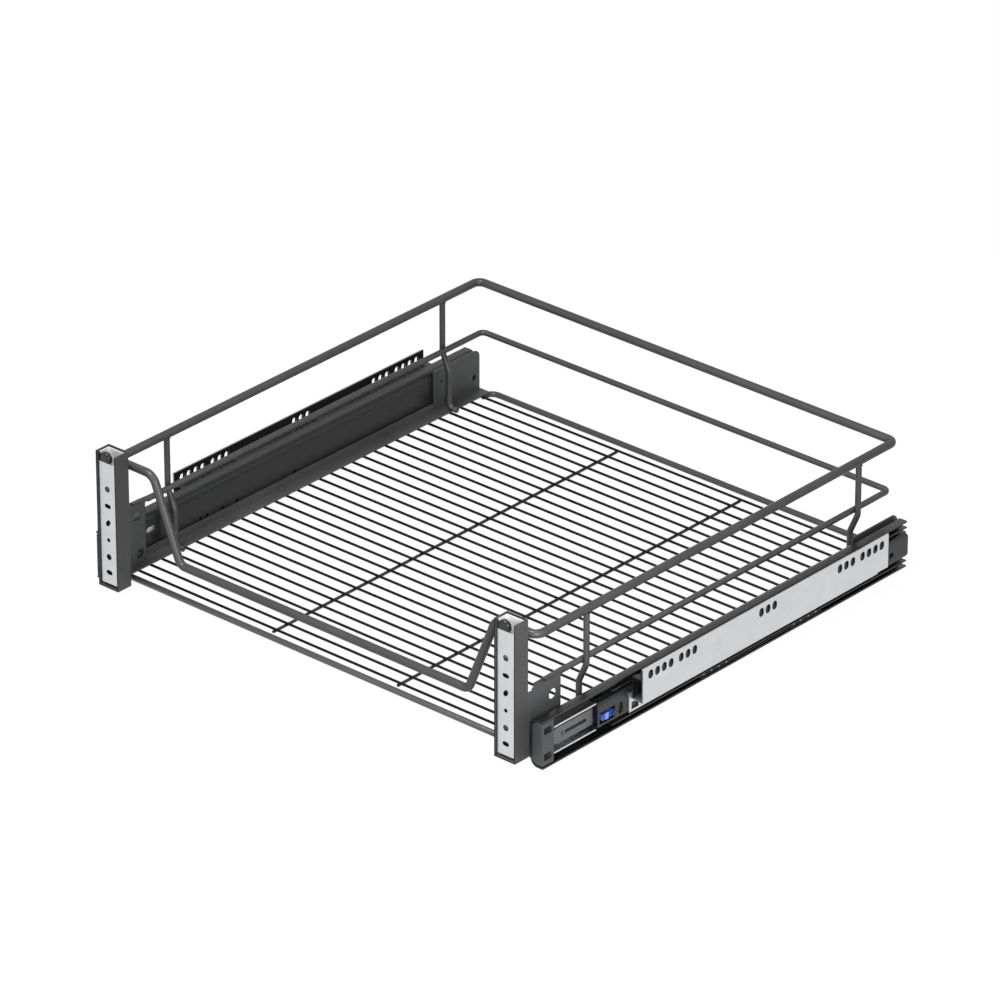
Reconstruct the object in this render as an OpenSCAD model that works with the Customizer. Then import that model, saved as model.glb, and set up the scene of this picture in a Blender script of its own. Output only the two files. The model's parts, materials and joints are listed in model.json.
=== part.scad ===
// Pull-out wire basket on a pair of full extension ball bearing slides.
// X runs across the cabinet, Y runs from the front to the back, Z is up.
// Lengths are millimetres. Every part is drawn with the posts' front faces at Y = 0
// and the posts' bottom at Z = 0, and placed() then moves the origin to the base.

/* [Cabinet] */
// Clear width between the cabinet's side walls
cabinet_w = 495; // [450:1:900]

/* [Basket] */
// Diameter of the top rim rod
rim_d = 7; // [6:0.5:8]
// Height of the top rim's centre line
rim_z = 101.7; // [90:0.5:140]
// Height of the front dip's centre line
dip_z = 31.3; // [20:0.5:50]
// How far the dip's corners stay in from the side rods
dip_inset = 68.5; // [60:0.5:90]
// Diameter of the middle rail, the uprights and the base rods
rail_d = 5; // [4:0.5:6]
// Height of the middle rail's lower side
mid_rest_z = 54.4; // [50:0.1:70]
// Diameter of the grid wires
grid_d = 2.2; // [1.6:0.1:3]
// Distance between grid wires
grid_pitch = 13.2; // [8:0.2:20]
// Diameter of the two support wires
support_d = 3.5; // [3:0.5:5]
// Distance from the middle to each support wire
support_x = 65.6; // [40:0.2:100]

/* [Posts] */
// Width of a front post
post_w = 21.1; // [18:0.1:26]
// Depth of a front post
post_d = 15; // [12:0.5:18]
// Height of a front post
post_h = 119; // [112:1:160]
// Wall of a front post
post_t = 1.2; // [1:0.1:2]
// Distance from the top of the zinc front plate to the top of the post
plate_gap = 10; // [9:0.5:14]
// Radius of the two screw holes in the front plate
front_hole_r = 2.6; // [2:0.1:3.2]
// Distance between the two screw holes
front_hole_gap = 60; // [50:1:64]

/* [Slides] */
// Length of the drawer rail
slide_l = 438; // [400:1:520]
// Thickness of the whole slide
slide_w = 13.6; // [13.2:0.1:14.4]
// Height of the drawer rail
drawer_rail_h = 41; // [40:0.5:44]
// Height of the middle rail of the slide
middle_rail_h = 30.8; // [30:0.2:31.4]
// Height of the cabinet rail
cabinet_rail_h = 22; // [21:0.2:22.4]
// Sheet of the drawer rail
drawer_rail_t = 1.5; // [1.2:0.1:1.6]
// Sheet of the middle rail
middle_rail_t = 1.2; // [1:0.1:1.4]
// Sheet of the cabinet rail
cabinet_rail_t = 1.4; // [1.2:0.1:1.6]
// Travel of the basket
travel = 420; // [300:10:430]
// Balls in one row of a cage
row_balls = 8; // [4:2:10]

/* [Cabinet bracket] */
// Distance from the slide to the cabinet wall
bracket_w = 11.5; // [9:0.5:20]
// Length of the cabinet bracket
bracket_l = 297.5; // [290:0.5:310]
// Sheet of the bracket and of its cover
bracket_t = 1.2; // [1:0.1:1.5]
// Width of a perforation along the bracket
slot_w = 5.5; // [4:0.1:6]
// Height of a perforation
slot_h = 7.5; // [6:0.1:8]

/* [Sheet parts] */
// Sheet of the carriers and brackets of the basket
sheet_t = 1.5; // [1.2:0.1:2]

/* [Hidden] */
$fn = 64;

LEFT = -1;
RIGHT = 1;
// Play of a part that slides beside another
play = 0.3;
// Play of a ball or a pin in its seat
fit = 0.05;
// Overshoot of a cut past the face that it opens
over = 1;

// Places across the cabinet, from the wall inward
wall_x = cabinet_w / 2;
slide_out_x = wall_x - bracket_w;
slide_in_x = slide_out_x - slide_w;
carrier_x = slide_in_x - sheet_t;
carrier_w = 12.6;
carrier_edge_x = slide_in_x - carrier_w;
post_gap = 3.6;
post_x = slide_in_x - post_gap - post_w;
post_out_x = post_x + post_w;
rim_x = slide_in_x - 2.7;
upright_x = rim_x;
weld_sink = 0.3;
mid_x = upright_x - rail_d + weld_sink;
foot_x = carrier_edge_x + 2.5;

// Heights
carrier_z = 0.65;
flange_z = carrier_z + sheet_t;
slide_z = 15.9;
mid_z = mid_rest_z + rail_d / 2;
ear_top_z = 57.5;
grid_z = carrier_z - grid_d / 2;
base_rod_z = carrier_z - rail_d / 2;
support_z = grid_z - grid_d / 2 - support_d / 2;
base_z = min(support_z - support_d / 2, base_rod_z - rail_d / 2, slide_z - drawer_rail_h / 2);

// Places along the cabinet, from the front to the back
rail_front_y = 14;
rail_back_y = rail_front_y + slide_l;
rim_seat = 4.8;
rim_front_y = post_d + rim_seat + rim_d / 2;
rim_back_y = rail_back_y + 0.6;
front_ear_l = 37.5;
mid_front_y = post_d + front_ear_l;
mid_back_y = rail_back_y;
ear_back_y = rail_back_y + 3;
ear_l = 56.5;
carrier_back_y = ear_back_y - ear_l - 0.5;
base_front_y = 28.6;
base_back_y = ear_back_y + 5.6;
grid_front_y = 38.2;
grid_room = ear_back_y - 7.6 - grid_front_y;
grid_count = floor(grid_room / grid_pitch + 0.01) + 1;
grid_back_y = grid_front_y + (grid_count - 1) * grid_pitch;
front_upright_y = 81;
rear_upright_y = ear_back_y - 47.4;
whole_back_y = base_back_y + rail_d / 2;

// Bends of the rods
rim_bend = 11;
rim_corner = 8;
rim_rear_bend = 6.5;
mid_bend = 5;
upright_bend_z = 54;
knee_z = 37;
rod_bend = 8;
foot_bend = 5;
bend_swell = 0.2;
bend_lap = 0.25;

// Slide: the cabinet rail is short of the front by the length of the soft stop
stop_l = 62;
middle_front_y = rail_front_y + 80;
cabinet_front_y = rail_front_y + stop_l;
middle_x = slide_in_x + drawer_rail_t + 1.1;
cabinet_rail_depth = 7.5;
drawer_rail_depth = slide_w - 1.5;
middle_out_x = slide_in_x + drawer_rail_depth + play;
race_x = slide_in_x + 9.1;
drawer_rail_r = 6.5;
middle_rail_r = 2.5;
cabinet_rail_r = 3;
drawer_face = drawer_rail_h / 2 - drawer_rail_t;
middle_face = middle_rail_h / 2;
middle_in_face = middle_face - middle_rail_t;
cabinet_face = cabinet_rail_h / 2;
groove = 0.2;
outer_race = (drawer_face + middle_face) / 2;
inner_race = (middle_in_face + cabinet_face) / 2;
outer_ball_r = (drawer_face - middle_face) / 2 + groove;
inner_ball_r = (middle_in_face - cabinet_face) / 2 + groove;
ball_pitch = 9;
cage_end = 6;
outer_cage_front_y = middle_front_y + travel / 4;
outer_cage_back_y = rail_back_y - travel / 4;
inner_cage_front_y = cabinet_front_y + travel / 4;
inner_cage_back_y = rail_back_y - travel / 4;
outer_cage_t = 0.5;
inner_cage_t = 0.8;

// Soft stop at the front end of the drawer rail
channel_half_h = 11.9;
channel_t = 1.4;
channel_front_y = rail_front_y + 13;
channel_back_y = cabinet_front_y - 0.5;
damper_half_h = 7;
damper_out_x = slide_in_x + 9.6;
slider_slot = 3;
slider_l = 8;
slot_front_y = channel_front_y + 9;

// Release lever in the front end of the cabinet rail
lever_front_y = cabinet_front_y + 3;
lever_l = 16;
lever_h = 5.6;
lever_pin_r = 1.5;
lever_y = lever_front_y + lever_l - 2;
lever_z = slide_z - 2.6;
window_half_h = 5.2;

// Cabinet bracket
bracket_z = slide_z - 10.4;
shelf_z = slide_z - 0.5;
bracket_top_z = shelf_z + 29.4;
bracket_front_y = rail_front_y + 101;
bracket_back_y = bracket_front_y + bracket_l;
slot_z = bracket_top_z - 7;
slot_pitch = 8;
// Front ends of the groups of perforations, from the bracket's front end, and their counts
slot_groups = [[9, 4], [45, 3], [141, 3], [237, 3], [265, 4]];
cover_z = shelf_z + 18.6;

function unit(v) = v / norm(v);
function turn(a, b, c) = acos(max(-1, min(1, unit(b - a) * unit(c - b))));
function bend_reach(a, b, c, r) = r * tan(turn(a, b, c) / 2);

// Draws in the part's own frame: the origin lies in the middle of the base
module placed() translate([0, -whole_back_y / 2, -base_z]) children();

// Draws the right-hand shape, or its mirror image for the left side
module on_side(side) mirror([side == LEFT ? 1 : 0, 0, 0]) children();

// Extrudes an outline in X and Z along Y
module along_y(y0, y1) translate([0, y1, 0]) rotate([90, 0, 0]) linear_extrude(y1 - y0) children();

// Extrudes an outline in Y and Z along X
module along_x(x0, x1)
  translate([x0, 0, 0]) rotate([90, 0, 90]) linear_extrude(x1 - x0) children();

module block(x0, x1, y0, y1, z0, z1) translate([x0, y0, z0]) cube([x1 - x0, y1 - y0, z1 - z0]);

module bore_x(x0, x1, y, z, r) translate([x0, y, z]) rotate([0, 90, 0]) cylinder(h = x1 - x0, r = r);

module bore_y(x, y0, y1, z, r) translate([x, y1, z]) rotate([90, 0, 0]) cylinder(h = y1 - y0, r = r);

module stadium(w, h) {
  r = min(w, h) / 2;
  for (s = [-1, 1])
    translate([s * max(0, w / 2 - r), s * max(0, h / 2 - r)]) circle(r);
  if (w > h) square([w - 2 * r, h], center = true);
  else square([w, h - 2 * r], center = true);
}

module rod(p, q, d) {
  v = q - p;
  translate(p)
    rotate([0, acos(v[2] / norm(v)), atan2(v[1], v[0])])
      cylinder(h = norm(v), d = d);
}

// Round bend of radius r in a rod that turns from a to c at the corner b
module elbow(a, b, c, d, r) {
  u = unit(a - b);
  w = unit(c - b);
  half = turn(a, b, c) / 2;
  centre = b + unit(u + w) * r / cos(half);
  ex = unit(b + u * r * tan(half) - centre);
  ez = unit(cross(ex, b + w * r * tan(half) - centre));
  ey = cross(ez, ex);
  multmatrix([
    [ex[0], ey[0], ez[0], centre[0]],
    [ex[1], ey[1], ez[1], centre[1]],
    [ex[2], ey[2], ez[2], centre[2]],
    [0, 0, 0, 1]
  ]) rotate_extrude(angle = 2 * half) translate([r, 0]) circle(d = d);
}

// Rod along a list of corners [x, y, z, bend radius]; closed joins the last corner to the first.
// A bend is a hair thicker than the straight rods, which run a little way into it.
module bent_rod(corners, d, closed = false) {
  n = len(corners);
  pts = [for (c = corners) [c[0], c[1], c[2]]];
  reach = [for (i = [0:n - 1])
    !closed && (i == 0 || i == n - 1) ? 0
      : bend_reach(pts[(i + n - 1) % n], pts[i], pts[(i + 1) % n], corners[i][3])];
  union() {
    for (i = [0:closed ? n - 1 : n - 2]) {
      j = (i + 1) % n;
      dir = unit(pts[j] - pts[i]);
      from = reach[i] > 0 ? reach[i] - bend_lap : 0;
      to = reach[j] > 0 ? reach[j] - bend_lap : 0;
      rod(pts[i] + dir * from, pts[j] - dir * to, d);
    }
    for (i = [closed ? 0 : 1:closed ? n - 1 : n - 2])
      elbow(pts[(i + n - 1) % n], pts[i], pts[(i + 1) % n], d + bend_swell, corners[i][3]);
  }
}

// Outline of a channel that opens to +X, filled, with round back corners
module channel_fill(x0, x1, half_h, r) {
  translate([x0 + r, -half_h]) square([x1 - x0 - r, 2 * half_h]);
  translate([x0, r - half_h]) square([2 * r, 2 * (half_h - r)]);
  for (s = [-1, 1]) translate([x0 + r, s * (half_h - r)]) circle(r);
}

// Outline of a sheet channel that opens to +X, centred on the slide's middle
module channel(x0, x1, half_h, t, r)
  translate([0, slide_z]) difference() {
    channel_fill(x0, x1, half_h, r);
    channel_fill(x0 + t, x1 + over, half_h - t, max(0.3, r - t));
  }

// Ball races along both flanges of a rail
module races(half_gap, ball_r)
  translate([race_x, slide_z])
    for (s = [-1, 1]) translate([0, s * half_gap]) circle(ball_r + fit);

function ball_ys(y0, y1) = [for (i = [0:row_balls - 1])
  i < row_balls / 2 ? y0 + cage_end + i * ball_pitch
    : y1 - cage_end - (row_balls - 1 - i) * ball_pitch];

// Basket

module top_rim() {
  foot_x = rim_x - dip_inset;
  leg_x = foot_x + 0.4 * (rim_z - dip_z);
  color("#4f4f4f") bent_rod([
    [rim_x, rim_front_y, rim_z, rim_corner],
    [rim_x, rim_back_y, rim_z, rim_rear_bend],
    [-rim_x, rim_back_y, rim_z, rim_rear_bend],
    [-rim_x, rim_front_y, rim_z, rim_corner],
    [-leg_x, rim_front_y, rim_z, rim_bend],
    [-foot_x, rim_front_y, dip_z, rim_bend],
    [foot_x, rim_front_y, dip_z, rim_bend],
    [leg_x, rim_front_y, rim_z, rim_bend]
  ], rim_d, closed = true);
}

module mid_rail() color("#4f4f4f") bent_rod([
  [mid_x, mid_front_y, mid_z, 0],
  [mid_x, mid_back_y, mid_z, mid_bend],
  [-mid_x, mid_back_y, mid_z, mid_bend],
  [-mid_x, mid_front_y, mid_z, 0]
], rail_d);

// Upright rod: welded under the rim and outside the middle rail, drawn in below, with a foot
module upright(y) difference() {
  bent_rod([
    [upright_x, y, rim_z - rim_d * 0.3, 0],
    [upright_x, y, upright_bend_z, rod_bend],
    [foot_x, y, knee_z, rod_bend],
    [foot_x, y, flange_z + rail_d / 2, foot_bend],
    [carrier_edge_x - 6.3, y, flange_z + rail_d / 2, 0]
  ], rail_d);
  bore_y(rim_x, y - rail_d, y + rail_d, rim_z, rim_d / 2);
  bore_y(mid_x, y - rail_d, y + rail_d, mid_z, rail_d / 2);
}

module uprights() color("#4c4c4c")
  for (side = [LEFT, RIGHT], y = [front_upright_y, rear_upright_y]) on_side(side) upright(y);

module front_rod() color("#6a6866")
  rod([-post_out_x, base_front_y, base_rod_z], [post_out_x, base_front_y, base_rod_z], rail_d);

module back_rod() {
  leg_x = carrier_edge_x + 3.2;
  leg_y = grid_back_y + 2.1;
  color("#4f4f4f") bent_rod([
    [leg_x, leg_y, base_rod_z, 0],
    [leg_x, base_back_y, base_rod_z, rod_bend],
    [-leg_x, base_back_y, base_rod_z, rod_bend],
    [-leg_x, leg_y, base_rod_z, 0]
  ], rail_d);
}

module support_wires() color("#3a3a3a")
  for (side = [LEFT, RIGHT])
    rod([side * support_x, grid_front_y - 1.2, support_z],
      [side * support_x, grid_back_y + 1.6, support_z], support_d);

module grid_wires() {
  end_x = carrier_edge_x + 6.2;
  color("#262626")
    for (i = [0:grid_count - 1])
      rod([-end_x, grid_front_y + i * grid_pitch, grid_z],
        [end_x, grid_front_y + i * grid_pitch, grid_z], grid_d);
}

// Angle that carries the grid and lies against the drawer rail
module carrier() color("#4a4a48") along_y(post_d, carrier_back_y) {
  translate([carrier_edge_x, carrier_z]) square([carrier_w, sheet_t]);
  translate([carrier_x, carrier_z]) square([sheet_t, 8]);
}

// Bracket that ties a post to its carrier: a side plate, a top flange and a tab on the post
module front_ear() {
  plate_x = post_out_x - sheet_t;
  back_y = post_d + front_ear_l;
  flange_w = 5.8;
  color("#4c4d4d") difference() {
    union() {
      block(plate_x, post_out_x, post_d, back_y, flange_z, ear_top_z);
      translate([0, 0, ear_top_z - sheet_t]) linear_extrude(sheet_t) polygon([
        [post_out_x, post_d + 5.6], [post_out_x - flange_w, post_d + 12.8],
        [post_out_x - flange_w, back_y - 3], [plate_x, back_y]
      ]);
      block(plate_x - 10, post_out_x, post_d, post_d + sheet_t, flange_z + 6, ear_top_z - 9);
    }
    bore_x(plate_x - over, post_out_x + over, post_d + 28.5, slide_z + 27.6, 4.4);
    bore_x(plate_x - over, post_out_x + over, post_d + 31, slide_z - 6.4, 4);
    along_x(plate_x - over, post_out_x + over)
      polygon([[post_d - over, ear_top_z - 2], [post_d + 5.6, ear_top_z - 2],
        [post_d + 5.6, ear_top_z + over], [post_d - over, ear_top_z + over]]);
  }
}

// Bracket at the back end of the drawer rail, with a flange under the basket's rear corner
module rear_ear() {
  front_y = ear_back_y - ear_l;
  top_z = 37.7;
  corner = 6;
  color("#4a4a48") difference() {
    union() {
      along_x(carrier_x, slide_in_x) {
        translate([front_y, carrier_z]) square([ear_l - corner, top_z - carrier_z]);
        translate([front_y, carrier_z]) square([ear_l, top_z - carrier_z - corner]);
        translate([ear_back_y - corner, top_z - corner]) circle(corner);
      }
      block(carrier_edge_x, slide_in_x, front_y, ear_back_y, carrier_z, flange_z);
    }
    bore_x(carrier_x - over, slide_in_x + over, ear_back_y - 7, slide_z - 1.9, 2.5);
    bore_x(carrier_x - over, slide_in_x + over, front_y + 9.5, slide_z + 10, 1.4);
  }
}

// Centre of a post and of what it holds
function post_mid(side) = side * (post_x + post_w / 2);
plate_h = post_h - plate_gap;
function hole_z(i) = plate_h / 2 + 2.9 + i * front_hole_gap / 2;

// Sheet channel, open to the front and the top, with a seat for the rim on its back
module post(side) {
  x = post_mid(side) - post_w / 2;
  seat_w = 10;
  color("#5c5c5c") difference() {
    union() {
      difference() {
        block(x, x + post_w, 0, post_d, 0, post_h);
        block(x + post_t, x + post_w - post_t, -over, post_d - post_t, post_t, post_h + over);
      }
      block(post_mid(side) - seat_w / 2 - 1, post_mid(side) + seat_w / 2 - 1, post_d,
        post_d + rim_seat + rim_d / 4, rim_z - 5, rim_z + 5);
    }
    for (i = [-1, 1]) bore_y(post_mid(side), post_d - post_t - over, post_d + over, hole_z(i), front_hole_r);
    translate([0, rim_front_y, rim_z]) rotate([0, 90, 0])
      cylinder(h = 4 * rim_x, d = rim_d, center = true);
  }
}

plate_back_y = 3;

// Bright channel inside the post, behind the front plate
module post_liner(side) {
  w = post_w - 2 * post_t;
  x = post_mid(side) - w / 2;
  liner_t = 1;
  back_y = post_d - post_t;
  color("#c9cacb") difference() {
    block(x, x + w, plate_back_y, back_y, post_t, post_h - 1.5);
    block(x + liner_t, x + w - liner_t, plate_back_y - over, back_y - liner_t,
      post_t - over, post_h + over);
    for (i = [-1, 1])
      bore_y(post_mid(side), back_y - liner_t - over, back_y + over, hole_z(i), front_hole_r);
  }
}

module plate_slot(side, z, w, h, tilt = 0)
  translate([post_mid(side), plate_back_y + over, z]) rotate([90, tilt, 0])
    linear_extrude(plate_back_y + 2 * over) stadium(w, h);

// Zinc plate in the front of the post, with the holes for the furniture front
module front_plate(side) {
  w = post_w - 2 * post_t;
  color("#c8c8c8") difference() {
    block(post_mid(side) - w / 2, post_mid(side) + w / 2, plate_back_y - 1.5, plate_back_y,
      post_t, post_t + plate_h);
    for (i = [-1, 1]) bore_y(post_mid(side), 0, plate_back_y + over, hole_z(i), front_hole_r);
    plate_slot(side, hole_z(0.5), 6.4, 3.6);
    plate_slot(side, hole_z(0), 6.2, 3.8, -55);
    bore_y(post_mid(side), 0, plate_back_y + over, hole_z(-0.5), 1.7);
    plate_slot(side, hole_z(-1.46), 6.4, 3.8);
  }
}

// Dark adjuster with a round head, above the front plate
module post_cap(side) {
  w = 11;
  x = post_mid(side) - post_w / 2 + post_t + 1;
  y0 = plate_back_y - 1.5;
  y1 = post_d - post_t - 1;
  z0 = post_t + plate_h;
  z1 = post_h - 6.2;
  color("#26282c") difference() {
    along_y(y0, y1) {
      translate([x, z0]) square([w, z1 - z0]);
      intersection() {
        translate([x + w / 2, z1]) circle(w / 2);
        translate([x, z0]) square(w);
      }
    }
    bore_y(x + w / 2, y0 - over, y1 + over, z1 + 1.6, 1.6);
  }
}

// Slides

module drawer_rail() {
  slot_y = rail_front_y + 50;
  color("#3c3d3f") difference() {
    along_y(rail_front_y, rail_back_y) difference() {
      channel(slide_in_x, slide_in_x + drawer_rail_depth, drawer_rail_h / 2, drawer_rail_t,
        drawer_rail_r);
      races(outer_race, outer_ball_r);
    }
    along_x(slide_in_x - over, slide_in_x + 3) {
      translate([slot_y, slide_z + 6.5]) stadium(11, 5.8);
      for (y = [107, 114, 132, 149, 217]) translate([rail_front_y + y, slide_z - 5.9]) circle(1.7);
    }
  }
}

// Cap in the front end of the drawer rail, with two windows
module end_stop() {
  x0 = slide_in_x + drawer_rail_t;
  x1 = slide_in_x + drawer_rail_depth - 0.3;
  y1 = channel_front_y;
  color("#58595b") difference() {
    along_y(rail_front_y, y1)
      translate([0, slide_z])
        channel_fill(x0, x1, drawer_face - 0.8, drawer_rail_r - drawer_rail_t);
    for (s = [-1, 1])
      block(x0 + 1.5, x1 + over, rail_front_y + 2, y1 - 2.2,
        slide_z + s * 11.2 - 3, slide_z + s * 11.2 + 3);
  }
}

// Bright channel of the soft stop
module catch_channel() color("#d4d5d6")
  along_y(channel_front_y, channel_back_y)
    channel(slide_in_x + drawer_rail_t, slide_in_x + drawer_rail_depth + 0.1, channel_half_h,
      channel_t, 2);

// Damper body: its slot guides the slider that catches the cabinet rail
module damper() {
  x0 = slide_in_x + drawer_rail_t + channel_t;
  color("#5b5c5e") difference() {
    along_x(x0, damper_out_x) {
      translate([channel_front_y + damper_half_h, slide_z]) circle(damper_half_h);
      translate([channel_front_y + damper_half_h, slide_z - damper_half_h])
        square([channel_back_y - channel_front_y - damper_half_h - 1, 2 * damper_half_h]);
    }
    block(x0 + 1.5, damper_out_x - 1.2, slot_front_y, channel_back_y - 5,
      slide_z - slider_slot, slide_z + slider_slot);
    block(damper_out_x - 1.2 - over, damper_out_x + over, slot_front_y + 2.5, channel_back_y - 8,
      slide_z - 1.5, slide_z + 1.5);
  }
}

// Slider of the soft stop, at the front end of its slot when the basket is shut
module catch_slider() {
  x0 = slide_in_x + drawer_rail_t + channel_t + 1.5 + play;
  x1 = damper_out_x - 1.2 - play;
  y0 = slot_front_y + play;
  color("#8a8c8e") {
    block(x0, x1, y0, y0 + slider_l, slide_z - slider_slot + play, slide_z + slider_slot - play);
    bore_x(x1, damper_out_x + 0.6, y0 + slider_l / 2, slide_z, 1.2);
  }
}

module middle_rail() color("#54565a")
  along_y(middle_front_y, rail_back_y) difference() {
    channel(middle_x, middle_out_x, middle_face, middle_rail_t, middle_rail_r);
    races(outer_race, outer_ball_r);
    races(inner_race, inner_ball_r);
  }

module cage(x0, x1, half_h, t, r, y0, y1, race, ball_r) difference() {
  along_y(y0, y1) channel(x0, x1, half_h, t, r);
  for (y = ball_ys(y0, y1), s = [-1, 1])
    translate([race_x, y, slide_z + s * race]) cylinder(h = 4, r = ball_r + fit, center = true);
}

module balls(y0, y1, race, ball_r)
  for (y = ball_ys(y0, y1), s = [-1, 1])
    translate([race_x, y, slide_z + s * race]) sphere(ball_r);

module outer_cage() color("#b9bbbd")
  cage(slide_in_x + drawer_rail_t + play, race_x + 2.6, outer_race + outer_cage_t / 2 + 0.1, outer_cage_t,
    drawer_rail_r - drawer_rail_t - play, outer_cage_front_y, outer_cage_back_y,
    outer_race, outer_ball_r);

module outer_balls() color("#dcdcdc")
  balls(outer_cage_front_y, outer_cage_back_y, outer_race, outer_ball_r);

module inner_cage() color("#b9bbbd")
  cage(middle_x + middle_rail_t + 0.7, race_x + 2.5, inner_race + inner_cage_t / 2, inner_cage_t, 2,
    inner_cage_front_y, inner_cage_back_y, inner_race, inner_ball_r);

module inner_balls() color("#dcdcdc")
  balls(inner_cage_front_y, inner_cage_back_y, inner_race, inner_ball_r);

// Rail on the cabinet, with a window for the lever, a slot and a locating hole
module cabinet_rail() {
  web_x = slide_out_x - cabinet_rail_t;
  color("#525457") difference() {
    along_y(cabinet_front_y, rail_back_y) difference() {
      translate([2 * slide_out_x - cabinet_rail_depth, 0]) mirror([1, 0])
        translate([slide_out_x - cabinet_rail_depth, 0])
          channel(0, cabinet_rail_depth, cabinet_face, cabinet_rail_t, cabinet_rail_r);
      races(inner_race, inner_ball_r);
    }
    along_x(web_x - over, slide_out_x + over) {
      translate([lever_front_y - 1, lever_z - window_half_h]) square([lever_l + 2, 2 * window_half_h]);
      translate([lever_front_y + 23.5, lever_z]) stadium(5, 10);
      translate([rail_back_y - 21, slide_z - 1.9]) circle(2.6);
      for (y = rivet_ys) translate([y, rivet_z]) circle(rivet_r);
      difference() {
        translate([rail_back_y - 4, slide_z - cabinet_face - over]) square([4 + over, 2 * cabinet_face + 2 * over]);
        translate([rail_back_y - 8, slide_z + 4 - cabinet_face]) square([8, 2 * cabinet_face - 8]);
        for (s = [-1, 1]) translate([rail_back_y - 4, slide_z + s * (cabinet_face - 4)]) circle(4);
      }
    }
  }
}

rivet_r = 2;
rivet_z = slide_z - 5.4;
rivet_ys = [for (i = [0:3]) bracket_front_y + 30 + i * (bracket_l - 57.5) / 3];

// Zinc bracket: a flange on the cabinet rail, a shelf and the perforated plate on the wall
module bracket() {
  flange_x = slide_out_x + bracket_t;
  hook_y = bracket_front_y - 4;
  color("#c9caca") difference() {
    union() {
      block(slide_out_x, flange_x, hook_y, bracket_back_y, bracket_z, shelf_z + bracket_t);
      block(slide_out_x, flange_x, hook_y, bracket_front_y, bracket_z, slide_z + 7);
      block(slide_out_x, wall_x, bracket_front_y, bracket_back_y, shelf_z, shelf_z + bracket_t);
      block(wall_x - bracket_t, wall_x, bracket_front_y, bracket_back_y, shelf_z, bracket_top_z);
    }
    perforations();
    block(slide_out_x - over, flange_x + over, bracket_front_y - 1, bracket_front_y + 7,
      bracket_z + 2, shelf_z - 1.6);
    for (y = rivet_ys) bore_x(slide_out_x - over, flange_x + over, y, rivet_z, rivet_r);
  }
}

module perforations()
  along_x(wall_x - bracket_w, wall_x + over)
    for (g = slot_groups, i = [0:g[1] - 1])
      translate([bracket_front_y + g[0] + i * slot_pitch, slot_z]) stadium(slot_w, slot_h);

// Dark profile behind the bracket plate that roofs the slide
module cover() {
  plate_x = wall_x - bracket_t;
  color("#3e3f40") difference() {
    along_y(bracket_front_y, bracket_back_y) {
      translate([slide_out_x, shelf_z + bracket_t]) square([bracket_t, cover_z - shelf_z]);
      translate([slide_out_x, cover_z]) square([plate_x - slide_out_x, bracket_t]);
      translate([plate_x - bracket_t, cover_z]) square([bracket_t, bracket_top_z - cover_z]);
    }
    perforations();
  }
}

module bracket_rivets() color("#9a9b9c")
  for (side = [LEFT, RIGHT], y = rivet_ys) on_side(side) {
    bore_x(slide_out_x - cabinet_rail_t - 0.8, slide_out_x + bracket_t + 0.8, y, rivet_z, rivet_r - fit);
    bore_x(slide_out_x - cabinet_rail_t - 0.8, slide_out_x - cabinet_rail_t, y, rivet_z, 3.2);
    bore_x(slide_out_x + bracket_t, slide_out_x + bracket_t + 0.8, y, rivet_z, 3.4);
  }

// Plastic base inside the cabinet rail's front end, which carries the lever's pin
module latch_base() {
  x0 = slide_out_x - cabinet_rail_depth + 0.9;
  x1 = slide_out_x - cabinet_rail_t;
  half_h = cabinet_face - cabinet_rail_t;
  color("#232427") {
    block(x0, x0 + 1.4, lever_front_y - 2, lever_front_y + 40, slide_z - half_h + 2, slide_z + half_h - 2);
    block(x0, x1, lever_front_y + lever_l + 2.4, lever_front_y + 40, slide_z - half_h + 2,
      slide_z + half_h - 2);
  }
}

module latch_pins() color("#b0b0b0")
  for (side = [LEFT, RIGHT]) on_side(side) {
    bore_x(slide_out_x - cabinet_rail_depth + 2.3, slide_out_x + 1, lever_y, lever_z, lever_pin_r);
    bore_x(slide_out_x + 0.6 + play, slide_out_x + 1.8, lever_y, lever_z, 2.4);
  }

// Blue lever that frees the basket from the slide
module release_lever() {
  x0 = slide_out_x - cabinet_rail_depth + 2.3 + play;
  x1 = slide_out_x + 0.6;
  color("#2b3596") difference() {
    along_x(x0, x1) {
      translate([lever_y, lever_z]) circle(lever_h / 2 - 0.2);
      translate([lever_front_y + lever_h / 2, lever_z - lever_h / 2 + 0.6])
        square([lever_y - lever_front_y - lever_h / 2, lever_h - 1.2]);
      translate([lever_front_y + lever_h / 2, lever_z]) circle(lever_h / 2);
    }
    bore_x(x0 - over, x1 + over, lever_y, lever_z, lever_pin_r + fit);
    block(x1 - 1.2, x1 + over, lever_front_y + 4.5, lever_y - 3.4, lever_z - 1.2, lever_z + 1.2);
  }
}

placed() top_rim();
placed() mid_rail();
placed() uprights();
placed() front_rod();
placed() back_rod();
placed() support_wires();
placed() grid_wires();
placed() on_side(LEFT) carrier();  // carrier_left
placed() on_side(RIGHT) carrier();  // carrier_right
placed() on_side(LEFT) front_ear();  // front_ear_left
placed() on_side(RIGHT) front_ear();  // front_ear_right
placed() on_side(LEFT) rear_ear();  // rear_ear_left
placed() on_side(RIGHT) rear_ear();  // rear_ear_right
placed() post(LEFT);  // post_left
placed() post(RIGHT);  // post_right
placed() post_liner(LEFT);  // post_liner_left
placed() post_liner(RIGHT);  // post_liner_right
placed() front_plate(LEFT);  // front_plate_left
placed() front_plate(RIGHT);  // front_plate_right
placed() post_cap(LEFT);  // post_cap_left
placed() post_cap(RIGHT);  // post_cap_right
placed() on_side(LEFT) drawer_rail();  // drawer_rail_left
placed() on_side(RIGHT) drawer_rail();  // drawer_rail_right
placed() on_side(LEFT) end_stop();  // end_stop_left
placed() on_side(RIGHT) end_stop();  // end_stop_right
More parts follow.
